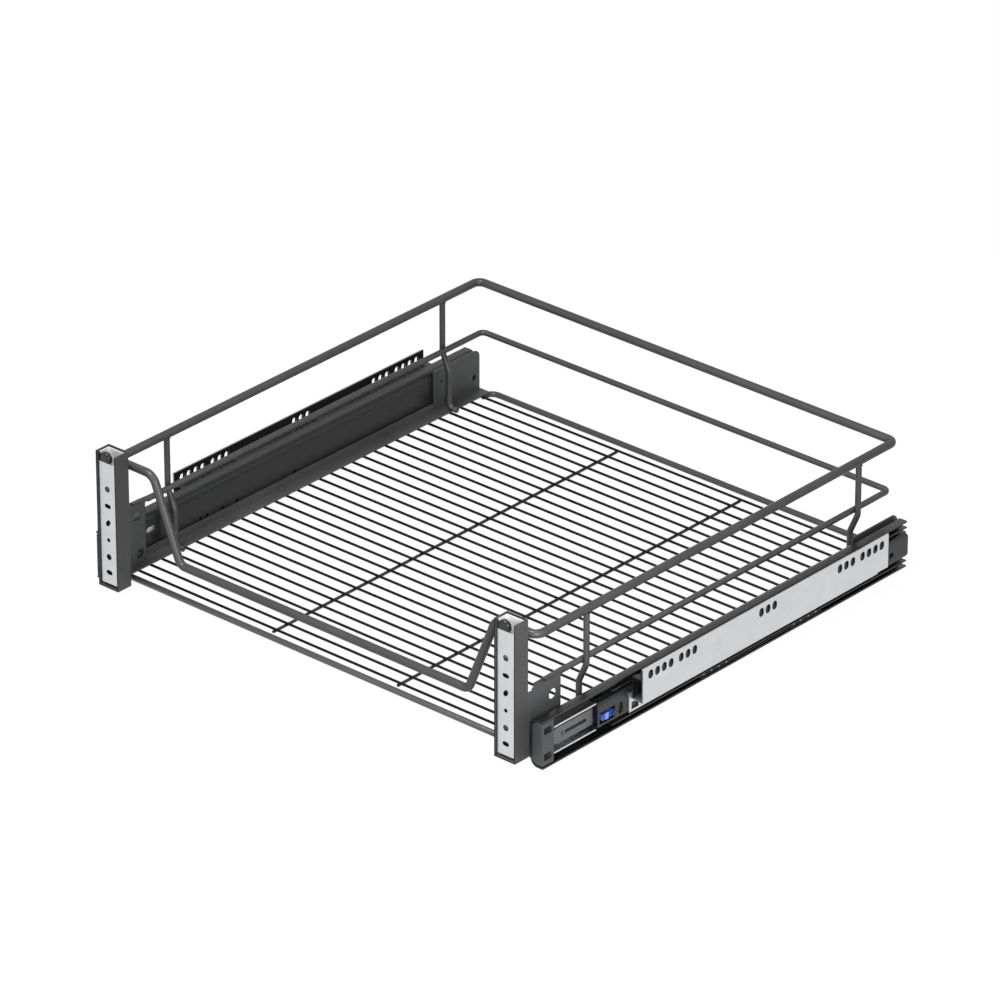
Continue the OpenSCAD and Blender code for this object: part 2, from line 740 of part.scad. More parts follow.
placed() on_side(LEFT) catch_channel();  // catch_channel_left
placed() on_side(RIGHT) catch_channel();  // catch_channel_right
placed() on_side(LEFT) damper();  // damper_left
placed() on_side(RIGHT) damper();  // damper_right
placed() on_side(LEFT) catch_slider();  // catch_slider_left
placed() on_side(RIGHT) catch_slider();  // catch_slider_right
placed() on_side(LEFT) middle_rail();  // middle_rail_left
placed() on_side(RIGHT) middle_rail();  // middle_rail_right
placed() on_side(LEFT) outer_cage();  // outer_cage_left
placed() on_side(RIGHT) outer_cage();  // outer_cage_right
placed() on_side(LEFT) outer_balls();  // outer_balls_left
placed() on_side(RIGHT) outer_balls();  // outer_balls_right
placed() on_side(LEFT) inner_cage();  // inner_cage_left
placed() on_side(RIGHT) inner_cage();  // inner_cage_right
placed() on_side(LEFT) inner_balls();  // inner_balls_left
placed() on_side(RIGHT) inner_balls();  // inner_balls_right
placed() on_side(LEFT) cabinet_rail();  // cabinet_rail_left
placed() on_side(RIGHT) cabinet_rail();  // cabinet_rail_right
placed() on_side(LEFT) bracket();  // bracket_left
placed() on_side(RIGHT) bracket();  // bracket_right
placed() on_side(LEFT) cover();  // cover_left
placed() on_side(RIGHT) cover();  // cover_right
placed() bracket_rivets();
placed() on_side(LEFT) latch_base();  // latch_base_left
placed() on_side(RIGHT) latch_base();  // latch_base_right
placed() latch_pins();
placed() on_side(LEFT) release_lever();  // release_lever_left
placed() on_side(RIGHT) release_lever();  // release_lever_right
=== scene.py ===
"""Looks of a pull-out wire basket on ball bearing slides, built around its CAD frame.

Lengths in the functions are millimetres in the basket's drawing frame: X across the cabinet,
Y from the posts' front faces to the back, Z up from the posts' lower ends. placed() moves
them to the CAD frame in metres.
"""

import json
import math

import bmesh
import bpy
import numpy as np
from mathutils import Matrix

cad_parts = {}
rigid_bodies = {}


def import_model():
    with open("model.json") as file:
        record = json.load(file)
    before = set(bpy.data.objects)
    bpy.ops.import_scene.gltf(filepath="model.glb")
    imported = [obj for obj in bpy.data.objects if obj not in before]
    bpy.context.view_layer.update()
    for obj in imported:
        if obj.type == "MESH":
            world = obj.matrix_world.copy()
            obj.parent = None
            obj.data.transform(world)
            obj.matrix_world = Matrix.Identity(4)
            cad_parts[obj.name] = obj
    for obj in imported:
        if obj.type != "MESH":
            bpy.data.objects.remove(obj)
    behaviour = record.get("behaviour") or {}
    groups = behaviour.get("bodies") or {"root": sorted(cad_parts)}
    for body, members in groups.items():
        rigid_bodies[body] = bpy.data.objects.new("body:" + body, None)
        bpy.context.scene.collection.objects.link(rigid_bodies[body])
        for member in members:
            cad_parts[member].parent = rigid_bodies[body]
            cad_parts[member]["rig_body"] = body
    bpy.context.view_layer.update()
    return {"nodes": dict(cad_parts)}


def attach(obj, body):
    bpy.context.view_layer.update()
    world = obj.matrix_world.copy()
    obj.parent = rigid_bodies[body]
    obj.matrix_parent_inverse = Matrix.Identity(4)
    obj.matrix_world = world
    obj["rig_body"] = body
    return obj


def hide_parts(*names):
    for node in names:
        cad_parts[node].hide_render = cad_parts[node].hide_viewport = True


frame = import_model()

MM = 0.001
ORIGIN = np.array([0.0, 231.55, -5.05])
SIDES = (("left", -1), ("right", 1))

# Sizes of the basket, as its drawing has them, but for two that follow the photograph:
# the thickness of the support wires, and so their height, and the lower bends of the dip
RIM_D, RAIL_D, GRID_D, SUPPORT_D = 7.0, 5.0, 2.2, 2.6
RIM_X, RIM_FRONT_Y, RIM_BACK_Y, RIM_Z = 219.7, 23.3, 452.6, 101.7
RIM_FRONT_BEND, RIM_REAR_BEND = 8.0, 6.5
DIP_Z, DIP_X, LEG_LEAN = 31.3, 151.2, 0.4
DIP_TOP_BEND, DIP_LOW_BEND = 11.0, 7.5
LEG_X = DIP_X + LEG_LEAN * (RIM_Z - DIP_Z)
MID_X, MID_FRONT_Y, MID_BACK_Y, MID_Z, MID_BEND = 215.0, 52.5, 452.0, 56.9, 5.0
FLANGE_Z, CARRIER_EDGE_X = 2.15, 209.8
UPRIGHT_X, UPRIGHT_YS, UPRIGHT_BEND_Z, KNEE_Z = 219.7, (81.0, 407.6), 54.0, 37.0
UPRIGHT_TOP_DROP, UPRIGHT_BEND, FOOT_BEND, FOOT_LENGTH = 2.1, 8.0, 5.0, 6.3
GRID_Z, GRID_OVER = -0.45, 6.2
GRID_FRONT_Y, GRID_PITCH, GRID_COUNT = 38.2, 13.2, 32
GRID_BACK_Y = GRID_FRONT_Y + (GRID_COUNT - 1) * GRID_PITCH
SUPPORT_Z, SUPPORT_X, SUPPORT_FRONT_OVER, SUPPORT_BACK_OVER = -2.85, 65.6, 1.2, 1.6
BASE_ROD_Z, BASE_FRONT_Y, BASE_BACK_Y, BASE_BEND = -1.85, 28.6, 460.6, 8.0
FRONT_ROD_END_X, BACK_LEG_OVER, BACK_LEG_GAP = 218.8, 3.2, 2.1
POST_X = 208.25


def placed(points):
    """Drawing frame in millimetres to CAD frame in metres: the point less ORIGIN, over 1000."""
    return (np.asarray(points, float) - ORIGIN) * MM


# Camera and light

WHITE = (1.0, 1.0, 1.0, 1.0)
CAMERA_PLACE, CAMERA_LENS = (3.53075, -3.99520, 2.83754), 274.08
CAMERA_TILT, CAMERA_TURN = 62.527, 41.476
FLOOR_HALF, FLOOR_Z = 6.0, -0.0006
FLOOR_TONE, FLOOR_WHITE = 0.7, 1.08


def make_camera():
    """Camera at the photograph's angle: azimuth 41.5 degrees, elevation 27.5 degrees, long lens."""
    data = bpy.data.cameras.new("photo_view")
    data.sensor_width = 36.0
    data.lens = CAMERA_LENS
    data.clip_start = 0.1
    data.clip_end = 50.0
    camera = bpy.data.objects.new("photo_view", data)
    camera.location = CAMERA_PLACE
    camera.rotation_euler = (math.radians(CAMERA_TILT), 0.0, math.radians(CAMERA_TURN))
    bpy.context.scene.collection.objects.link(camera)
    bpy.context.scene.camera = camera


def background_rays(nodes, links):
    """1 for camera, glossy and transmission rays, and 0 for the rays that carry light."""
    path = nodes.new("ShaderNodeLightPath")
    first = nodes.new("ShaderNodeMath")
    first.operation = "MAXIMUM"
    links.new(path.outputs["Is Camera Ray"], first.inputs[0])
    links.new(path.outputs["Is Glossy Ray"], first.inputs[1])
    second = nodes.new("ShaderNodeMath")
    second.operation = "MAXIMUM"
    links.new(first.outputs[0], second.inputs[0])
    links.new(path.outputs["Is Transmission Ray"], second.inputs[1])
    return second.outputs[0]


def make_world(light_level):
    """White behind the object, and a plain light of light_level on it."""
    world = bpy.data.worlds.new("studio")
    world.use_nodes = True
    nodes, links = world.node_tree.nodes, world.node_tree.links
    nodes.clear()
    seen = nodes.new("ShaderNodeBackground")
    seen.inputs["Strength"].default_value = 1.0
    seen.inputs["Color"].default_value = WHITE
    lit = nodes.new("ShaderNodeBackground")
    lit.inputs["Strength"].default_value = light_level
    lit.inputs["Color"].default_value = WHITE
    mix = nodes.new("ShaderNodeMixShader")
    out = nodes.new("ShaderNodeOutputWorld")
    links.new(background_rays(nodes, links), mix.inputs[0])
    links.new(lit.outputs[0], mix.inputs[1])
    links.new(seen.outputs[0], mix.inputs[2])
    links.new(mix.outputs[0], out.inputs["Surface"])
    bpy.context.scene.world = world


def make_softbox(name, place, aim, size, power):
    """Square area lamp at place, turned to aim."""
    data = bpy.data.lights.new(name, "AREA")
    data.shape = "SQUARE"
    data.size = size
    data.energy = power
    lamp = bpy.data.objects.new(name, data)
    lamp.location = place
    direction = np.array(aim, float) - np.array(place, float)
    azimuth = math.atan2(direction[1], direction[0])
    tilt = math.atan2(math.hypot(direction[0], direction[1]), -direction[2])
    lamp.rotation_euler = (tilt, 0.0, azimuth - math.pi / 2)
    bpy.context.scene.collection.objects.link(lamp)


def make_floor(shadow_share):
    """Pale floor under the object that shows white to the camera and keeps a soft shadow."""
    mesh = bpy.data.meshes.new("floor")
    corners = [
        (-FLOOR_HALF, -FLOOR_HALF, FLOOR_Z), (FLOOR_HALF, -FLOOR_HALF, FLOOR_Z),
        (FLOOR_HALF, FLOOR_HALF, FLOOR_Z), (-FLOOR_HALF, FLOOR_HALF, FLOOR_Z),
    ]
    mesh.from_pydata(corners, [], [(0, 1, 2, 3)])
    floor = bpy.data.objects.new("floor", mesh)
    bpy.context.scene.collection.objects.link(floor)
    material = bpy.data.materials.new("pale_floor")
    material.use_nodes = True
    nodes, links = material.node_tree.nodes, material.node_tree.links
    nodes.clear()
    paint = nodes.new("ShaderNodeBsdfDiffuse")
    paint.inputs["Color"].default_value = (FLOOR_TONE, FLOOR_TONE, FLOOR_TONE, 1.0)
    white = nodes.new("ShaderNodeEmission")
    white.inputs["Color"].default_value = WHITE
    white.inputs["Strength"].default_value = FLOOR_WHITE
    share = nodes.new("ShaderNodeMath")
    share.operation = "MULTIPLY"
    share.inputs[1].default_value = 1.0 - shadow_share
    links.new(background_rays(nodes, links), share.inputs[0])
    mix = nodes.new("ShaderNodeMixShader")
    out = nodes.new("ShaderNodeOutputMaterial")
    links.new(share.outputs[0], mix.inputs[0])
    links.new(paint.outputs[0], mix.inputs[1])
    links.new(white.outputs[0], mix.inputs[2])
    links.new(mix.outputs[0], out.inputs["Surface"])
    mesh.materials.append(material)


make_camera()
make_world(0.28)
make_softbox("key_softbox", (-0.15, -0.8, 2.1), (0.0, 0.0, 0.05), 0.7, 44.0)
make_softbox("side_softbox", (0.75, -0.62, 0.4), (0.2, -0.1, 0.05), 0.35, 6.0)
make_floor(0.12)
bpy.context.scene.view_settings.view_transform = "Standard"


# Shader node groups

EDGE_PATCH_SCALE, EDGE_SAMPLES = 160.0, 4
SPECK_SHARE, DRIFT_SHARE = 0.35, 0.65
STREAK_SHARE, CLOUD_SHARE = 0.5, 0.5


def new_group(name, inputs, outputs):
    """Empty node group with its sockets: each is (name, kind, value), and an output has no value."""
    tree = bpy.data.node_groups.new(name, "ShaderNodeTree")
    for label, kind, value in inputs:
        socket = tree.interface.new_socket(label, in_out="INPUT", socket_type=kind)
        if value is not None:
            socket.default_value = value
    for label, kind in outputs:
        tree.interface.new_socket(label, in_out="OUTPUT", socket_type=kind)
    return tree, tree.nodes.new("NodeGroupInput"), tree.nodes.new("NodeGroupOutput")


def add_noise(tree, vector, scale, detail, rough=0.5):
    """Noise texture on vector. scale is a number or a socket."""
    noise = tree.nodes.new("ShaderNodeTexNoise")
    noise.inputs["Detail"].default_value = detail
    noise.inputs["Roughness"].default_value = rough
    tree.links.new(vector, noise.inputs["Vector"])
    if isinstance(scale, (int, float)):
        noise.inputs["Scale"].default_value = scale
    else:
        tree.links.new(scale, noise.inputs["Scale"])
    return noise.outputs["Fac"]


def add_math(tree, operation, first, second):
    """Math node on two numbers or sockets."""
    node = tree.nodes.new("ShaderNodeMath")
    node.operation = operation
    for socket, value in zip(node.inputs, (first, second)):
        if isinstance(value, (int, float)):
            socket.default_value = value
        else:
            tree.links.new(value, socket)
    return node.outputs[0]


def make_grain_group():
    """Sprayed or moulded grain: Tone drifts over a few centimetres, Height is a fine pebble."""
    tree, given, made = new_group(
        "fine_grain",
        [("Vector", "NodeSocketVector", None), ("Grain Scale", "NodeSocketFloat", 1400.0),
         ("Drift Scale", "NodeSocketFloat", 22.0)],
        [("Tone", "NodeSocketFloat"), ("Height", "NodeSocketFloat")],
    )
    pebble = add_noise(tree, given.outputs["Vector"], given.outputs["Grain Scale"], 2.0)
    drift = add_noise(tree, given.outputs["Vector"], given.outputs["Drift Scale"], 3.0)
    speck = add_math(tree, "MULTIPLY", pebble, SPECK_SHARE)
    base = add_math(tree, "MULTIPLY", drift, DRIFT_SHARE)
    tree.links.new(add_math(tree, "ADD", speck, base), made.inputs["Tone"])
    tree.links.new(pebble, made.inputs["Height"])
    return tree


def make_streak_group():
    """Rolled sheet: fine streaks along Y, and a faint cloud of zinc flowers across them."""
    tree, given, made = new_group(
        "rolled_streaks",
        [("Vector", "NodeSocketVector", None), ("Across", "NodeSocketFloat", 1600.0),
         ("Along", "NodeSocketFloat", 14.0), ("Cloud Scale", "NodeSocketFloat", 60.0)],
        [("Tone", "NodeSocketFloat"), ("Height", "NodeSocketFloat")],
    )
    split = tree.nodes.new("ShaderNodeSeparateXYZ")
    tree.links.new(given.outputs["Vector"], split.inputs[0])
    join = tree.nodes.new("ShaderNodeCombineXYZ")
    for axis, scale in (("X", "Across"), ("Y", "Along"), ("Z", "Across")):
        scaled = add_math(tree, "MULTIPLY", split.outputs[axis], given.outputs[scale])
        tree.links.new(scaled, join.inputs[axis])
    streak = add_noise(tree, join.outputs[0], 1.0, 3.0, 0.6)
    cloud = add_noise(tree, given.outputs["Vector"], given.outputs["Cloud Scale"], 2.0)
    fine = add_math(tree, "MULTIPLY", streak, STREAK_SHARE)
    broad = add_math(tree, "MULTIPLY", cloud, CLOUD_SHARE)
    tree.links.new(add_math(tree, "ADD", fine, broad), made.inputs["Tone"])
    tree.links.new(streak, made.inputs["Height"])
    return tree


def make_painted_edge_group():
    """Mask for painted light along edges, a highlight with a light colour and shade with a dark one: how
    far the rounded normal leans from the face's own, times noise.
    """
    tree, given, made = new_group(
        "painted_edge_highlight_shade",
        [("Vector", "NodeSocketVector", None), ("Radius", "NodeSocketFloat", 0.0006),
         ("Gain", "NodeSocketFloat", 2.5)],
        [("Mask", "NodeSocketFloat")],
    )
    rounded = tree.nodes.new("ShaderNodeBevel")
    rounded.samples = EDGE_SAMPLES
    tree.links.new(given.outputs["Radius"], rounded.inputs["Radius"])
    flat = tree.nodes.new("ShaderNodeNewGeometry")
    dot = tree.nodes.new("ShaderNodeVectorMath")
    dot.operation = "DOT_PRODUCT"
    tree.links.new(rounded.outputs[0], dot.inputs[0])
    tree.links.new(flat.outputs["Normal"], dot.inputs[1])
    lean = add_math(tree, "SUBTRACT", 1.0, dot.outputs["Value"])
    gained = add_math(tree, "MULTIPLY", lean, given.outputs["Gain"])
    patch = add_noise(tree, given.outputs["Vector"], EDGE_PATCH_SCALE, 3.0)
    painted_edge = add_math(tree, "MULTIPLY", gained, patch)
    clamp = tree.nodes.new("ShaderNodeClamp")
    tree.links.new(painted_edge, clamp.inputs["Value"])
    tree.links.new(clamp.outputs[0], made.inputs["Mask"])
    return tree


GRAIN = make_grain_group()
STREAKS = make_streak_group()
EDGE = make_painted_edge_group()


# Materials

TONE_LOW, TONE_HIGH = 0.3, 0.7
# Painted shade at flat angles: its blend and its colour
PAINTED_RIM_SHADE_BLEND, PAINTED_RIM_SHADE_COLOUR = 0.6, (10, 10, 11)
BUMP_DEPTH = 0.00005


def grey(level):
    """Linear value of an sRGB level from 0 to 255."""
    share = level / 255.0
    return share / 12.92 if share <= 0.04045 else ((share + 0.055) / 1.055) ** 2.4


def colour(levels):
    """Linear colour of three sRGB levels."""
    red, green, blue = levels
    return (grey(red), grey(green), grey(blue), 1.0)


def add_mix(tree, factor, first, second):
    """Colour mix by a factor socket. first is a socket or a colour, second is a colour."""
    node = tree.nodes.new("ShaderNodeMix")
    node.data_type = "RGBA"
    if isinstance(first, tuple):
        node.inputs["A"].default_value = first
    else:
        tree.links.new(first, node.inputs["A"])
    node.inputs["B"].default_value = second
    tree.links.new(factor, node.inputs["Factor"])
    return node.outputs["Result"]


def add_spread(tree, tone, low, high):
    """Takes a tone from TONE_LOW to TONE_HIGH over to low to high."""
    node = tree.nodes.new("ShaderNodeMapRange")
    node.inputs["From Min"].default_value = TONE_LOW
    node.inputs["From Max"].default_value = TONE_HIGH
    node.inputs["To Min"].default_value = low
    node.inputs["To Max"].default_value = high
    tree.links.new(tone, node.inputs["Value"])
    return node.outputs[0]


def finish(name, group, dark, light, rough, metallic=0.0, bump=0.1, specular=0.5, edge=None,
           painted_rim_shade=0.0):
    """Principled material whose colour and roughness follow the group's tone, with its bump.

    dark and light are the sRGB levels at the tone's ends, rough is a pair of roughness values,
    edge is (levels, gain) for a painted highlight along the edges, painted shade where the levels are
    dark, and the rim shade argument is painted shade that darkens what is seen at a flat angle.
    """
    material = bpy.data.materials.new(name)
    material.use_nodes = True
    tree = material.node_tree
    nodes, links = tree.nodes, tree.links
    shader = nodes["Principled BSDF"]
    shader.inputs["Metallic"].default_value = metallic
    shader.inputs["Specular IOR Level"].default_value = specular
    place = nodes.new("ShaderNodeTexCoord")
    pattern = nodes.new("ShaderNodeGroup")
    pattern.node_tree = group
    links.new(place.outputs["Object"], pattern.inputs["Vector"])
    tone = pattern.outputs["Tone"]
    paint = add_mix(tree, add_spread(tree, tone, 0.0, 1.0), colour(dark), colour(light))
    # Painted highlight along the edges, painted shade where the edge levels are dark
    if edge:
        levels, gain = edge
        painted_edge = nodes.new("ShaderNodeGroup")
        painted_edge.node_tree = EDGE
        painted_edge.inputs["Gain"].default_value = gain
        links.new(place.outputs["Object"], painted_edge.inputs["Vector"])
        paint = add_mix(tree, painted_edge.outputs["Mask"], paint, colour(levels))
    # Painted shade on what is seen at a flat angle
    if painted_rim_shade:
        facing = nodes.new("ShaderNodeLayerWeight")
        facing.inputs["Blend"].default_value = PAINTED_RIM_SHADE_BLEND
        amount = add_math(tree, "MULTIPLY", facing.outputs["Facing"], painted_rim_shade)
        paint = add_mix(tree, amount, paint, colour(PAINTED_RIM_SHADE_COLOUR))
    links.new(paint, shader.inputs["Base Color"])
    links.new(add_spread(tree, tone, rough[0], rough[1]), shader.inputs["Roughness"])
    relief = nodes.new("ShaderNodeBump")
    relief.inputs["Strength"].default_value = bump
    relief.inputs["Distance"].default_value = BUMP_DEPTH
    links.new(pattern.outputs["Height"], relief.inputs["Height"])
    links.new(relief.outputs[0], shader.inputs["Normal"])
    return material


FRONT_ROD_PAINT = finish(
    "front_rod_coat", GRAIN, (78, 78, 77), (96, 96, 95), (0.22, 0.3), bump=0.05, painted_rim_shade=0.9)
# Lighter copy of the sheet coat: painted light on the carriers' upward flanges
LIT_CARRIER_PAINT = finish(
    "carrier_coat_painted_light", GRAIN, (68, 68, 69), (82, 82, 83), (0.4, 0.54), bump=0.25, specular=0.35)
ROD_PAINT = finish(
    "rod_powder_coat", GRAIN, (68, 68, 68), (84, 84, 84), (0.26, 0.36), specular=0.3, painted_rim_shade=1.0)
GRID_PAINT = finish(
    "grid_powder_coat", GRAIN, (12, 12, 13), (20, 20, 21), (0.4, 0.55), bump=0.05, specular=0.12,
    painted_rim_shade=0.9)
SUPPORT_PAINT = finish(
    "support_powder_coat", GRAIN, (44, 44, 45), (56, 56, 57), (0.36, 0.5), bump=0.2, specular=0.25,
    painted_rim_shade=0.9)
# The dark edge colour is painted shade along the posts' edges
POST_PAINT = finish(
    "post_powder_coat", GRAIN, (57, 57, 57), (68, 68, 68), (0.42, 0.56), bump=0.25, specular=0.35,
    edge=((30, 30, 31), 2.0))
# Painted shade on the cut edges and hole walls of posts, liners, front plates and brackets
PAINTED_SHADE_EDGE = finish(
    "cut_edge_painted_shade", GRAIN, (14, 14, 15), (24, 24, 26), (0.4, 0.55), specular=0.2)
# The light edge colour is a painted highlight along the ears' edges
SHEET_PAINT = finish(
    "sheet_powder_coat", GRAIN, (60, 61, 61), (74, 75, 76), (0.42, 0.56), bump=0.25, specular=0.35,
    edge=((120, 120, 120), 2.0))
# The light edge colours of both rail coats are a painted highlight
RAIL_BLACK = finish(
    "rail_black_coat", STREAKS, (13, 14, 15), (20, 21, 23), (0.28, 0.38), bump=0.02, specular=0.42,
    edge=((90, 91, 88), 1.2))
CABINET_BLACK = finish(
    "cabinet_rail_coat", STREAKS, (24, 25, 27), (36, 37, 40), (0.28, 0.4), bump=0.08, specular=0.4,
    edge=((104, 105, 106), 1.5))
COVER_BLACK = finish(
    "cover_black_coat", STREAKS, (16, 17, 19), (28, 29, 32), (0.3, 0.42), bump=0.08, specular=0.3)
ZINC = finish(
    "rolled_zinc", STREAKS, (196, 198, 200), (212, 213, 215), (0.36, 0.46), metallic=1.0, bump=0.04)
FITTING_ZINC = finish(
    "bright_fittings", STREAKS, (120, 121, 124), (160, 161, 163), (0.3, 0.42), metallic=1.0, bump=0.06)
PIN_STEEL = finish("blackened_pin", GRAIN, (38, 39, 42), (52, 53, 57), (0.35, 0.5), metallic=0.6)
CHANNEL_ZINC = finish(
    "soft_stop_zinc", STREAKS, (196, 197, 199), (222, 223, 224), (0.25, 0.38), metallic=1.0, bump=0.05)
DAMPER_PLASTIC = finish("damper_plastic", GRAIN, (74, 75, 76), (88, 89, 90), (0.4, 0.5), bump=0.12)
# The light edge colour is a painted highlight along the stop's edges
STOP_PLASTIC = finish(
    "end_stop_plastic", GRAIN, (44, 45, 47), (58, 59, 61), (0.4, 0.52), bump=0.12,
    edge=((150, 152, 156), 3.0))
# Darker than bare cage steel: painted shade on the cages under the brackets
CAGE_PAINTED_SHADE = finish(
    "cage_metal_painted_shade", STREAKS, (62, 62, 60), (84, 84, 80), (0.34, 0.46), metallic=1.0, bump=0.05)
BALL_STEEL = finish(
    "polished_balls", GRAIN, (205, 206, 208), (225, 226, 228), (0.06, 0.12), metallic=1.0, bump=0.02)
CAP_PLASTIC = finish("glossy_cap_plastic", GRAIN, (10, 10, 12), (18, 19, 22), (0.14, 0.22), bump=0.05)
BLACK_PLASTIC = finish(
    "black_plastic", GRAIN, (12, 12, 14), (20, 21, 24), (0.35, 0.48), bump=0.15, specular=0.3)
BLUE_PLASTIC = finish("blue_plastic", GRAIN, (34, 58, 140), (52, 82, 168), (0.3, 0.4))
# Lighter blue as a painted highlight on the levers
PAINTED_HIGHLIGHT_BLUE = finish("blue_plastic_painted_highlight", GRAIN, (104, 128, 208), (128, 150, 222), (0.3, 0.4))
# Near white with little metal: painted reflection of bright surroundings on the zinc liners
LINER_ZINC = finish(
    "liner_zinc", STREAKS, (232, 233, 234), (246, 247, 248), (0.4, 0.52), metallic=0.3, bump=0.05)


# Shapes

TUBE_LIP, LIP_STEP = 0.35, 0.3
SKEW = np.array([0.35, 0.8, -0.49])
WELD_DISTANCE, SMOOTH_ANGLE = 1e-7, 40.0


def unit(vectors):
    """Vectors over their own length."""
    vectors = np.asarray(vectors, float)
    return vectors / np.linalg.norm(vectors, axis=-1, keepdims=True)


def bend_line(corners, closed=False, steps=12):
    """Centre line through corners (x, y, z, radius): straight runs, and at each bend the arc
    centre + radius (cos t · out - sin t · before) that touches both runs."""
    points = np.array([corner[:3] for corner in corners], float)
    count = len(points)
    parts = []
    for i, corner in enumerate(corners):
        if not closed and i in (0, count - 1):
            parts.append(points[i][None])
            continue
        radius = corner[3]
        before = unit(points[i - 1] - points[i])
        after = unit(points[(i + 1) % count] - points[i])
        half = math.acos(float(np.clip(-before @ after, -1, 1))) / 2
        centre = points[i] + unit(before + after) * radius / math.cos(half)
        out = unit(points[i] + before * radius * math.tan(half) - centre)
        t = np.linspace(0, 2 * half, steps + 1)[:, None]
        parts.append(centre + radius * (np.cos(t) * out - np.sin(t) * before))
    return np.vstack(parts)


def tube(line, radius, sides, closed=False):
    """Tube round a line: point(i, s) = line_i + radius_i (cos s · n_i + sin s · m_i), where n and m
    are square to the line. n is square to SKEW too, a direction that no rod has. Open ends are
    rounded over TUBE_LIP and closed on a middle point."""
    line = np.asarray(line, float)
    ahead = np.roll(line, -1, axis=0) - line
    if closed:
        tangent = unit(unit(ahead) + unit(np.roll(ahead, 1, axis=0)))
        radii = np.full(len(line), float(radius))
    else:
        first = unit(line[1] - line[0])
        last = unit(line[-1] - line[-2])
        inner = unit(unit(ahead[1:-1]) + unit(ahead[:-2])) if len(line) > 2 else np.zeros((0, 3))
        line = np.vstack([
            line[0], line[0] + first * TUBE_LIP * LIP_STEP, line[0] + first * TUBE_LIP, line[1:-1],
            line[-1] - last * TUBE_LIP, line[-1] - last * TUBE_LIP * LIP_STEP, line[-1],
        ])
        tangent = np.vstack([np.tile(first, (3, 1)), inner, np.tile(last, (3, 1))])
        radii = np.full(len(line), float(radius))
        radii[[0, -1]] = radius - TUBE_LIP
        radii[[1, -2]] = radius - TUBE_LIP * LIP_STEP
    side = unit(np.cross(tangent, SKEW))
    up = np.cross(tangent, side)
    s = np.linspace(0, 2 * math.pi, sides, endpoint=False)[None, :, None]
    around = np.cos(s) * side[:, None] + np.sin(s) * up[:, None]
    return ring_faces(line[:, None] + radii[:, None, None] * around, closed_along=closed)


def ring_faces(rings, closed_along=False):
    """Grid of rings as (points, faces): quads between neighbours, and a fan on each open end."""
    count, sides = rings.shape[:2]
    points = rings.reshape(-1, 3)
    i = np.arange(count if closed_along else count - 1)[:, None]
    s = np.arange(sides)[None]
    j = (i + 1) % count
    t = (s + 1) % sides
    quads = np.stack([i * sides + s, i * sides + t, j * sides + t, j * sides + s], -1)
    faces = quads.reshape(-1, 4).tolist()
    if not closed_along:
        middle = len(points)
        points = np.vstack([points, rings[0].mean(0), rings[-1].mean(0)])
        ring = np.arange(sides)
        head = np.stack([np.full(sides, middle), (ring + 1) % sides, ring], -1)
        base = (count - 1) * sides
        tail = np.stack([np.full(sides, middle + 1), base + ring, base + (ring + 1) % sides], -1)
        faces += head.tolist() + tail.tolist()
    return points, faces


def bar(low, high):
    """Box from corner low to corner high: a ring of four points at each end of Z."""
    corners = [(low[0], low[1]), (high[0], low[1]), (high[0], high[1]), (low[0], high[1])]
    ring = np.broadcast_to(np.array(corners, float), (2, 4, 2))
    ends = np.broadcast_to(np.array([low[2], high[2]], float)[:, None, None], (2, 4, 1))
    return ring_faces(np.concatenate([ring, ends], -1))


def together(shapes):
    """Several (points, faces) as one."""
    points = []
    faces = []
    offset = 0
    for some_points, some_faces in shapes:
        points.append(some_points)
        faces += [[corner + offset for corner in face] for face in some_faces]
        offset += len(some_points)
    return np.vstack(points), faces


def new_piece(name, shape, material, body, replaced=()):
    """Puts a shape given in the drawing frame into a mesh of its own, and lets it ride on its body."""
    points, faces = shape
    mesh = bpy.data.meshes.new(name)
    mesh.from_pydata(placed(points).tolist(), [], faces)
    solid = bmesh.new()
    solid.from_mesh(mesh)
    bmesh.ops.remove_doubles(solid, verts=solid.verts, dist=WELD_DISTANCE)
    bmesh.ops.recalc_face_normals(solid, faces=solid.faces)
    solid.to_mesh(mesh)
    solid.free()
    mesh.polygons.foreach_set("use_smooth", np.ones(len(mesh.polygons), bool))
    mesh.set_sharp_from_angle(angle=math.radians(SMOOTH_ANGLE))
    mesh.materials.append(material)
    piece = bpy.data.objects.new(name, mesh)
    bpy.context.scene.collection.objects.link(piece)
    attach(piece, body)
    if replaced:
        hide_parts(*replaced)
    return piece


# Rods of the basket

RIM_SIDES, ROD_SIDES, SUPPORT_SIDES, GRID_SIDES = 28, 22, 18, 14
BEAD_SWELL, BEAD_WAVES = 0.18, 7
TOP_BEAD_R, TOP_BEAD_LIFT = 0.55, 0.2
SEAM_BEAD_R, SEAM_RING_R, SEAM_SHIFT = 0.5, 0.9, 1.1
TONGUE_FRONT_Y, TONGUE_BACK_Y, TONGUE_ROWS = 36.0, 62.0, 16
TONGUE_STEP_Y, TONGUE_STEP_LENGTH = 44.0, 14.0
TONGUE_X, TONGUE_Z = 215.9, 58.0
TONGUE_HALF_W, TONGUE_HALF_H, TONGUE_OVER = 2.9, 0.7, 0.02


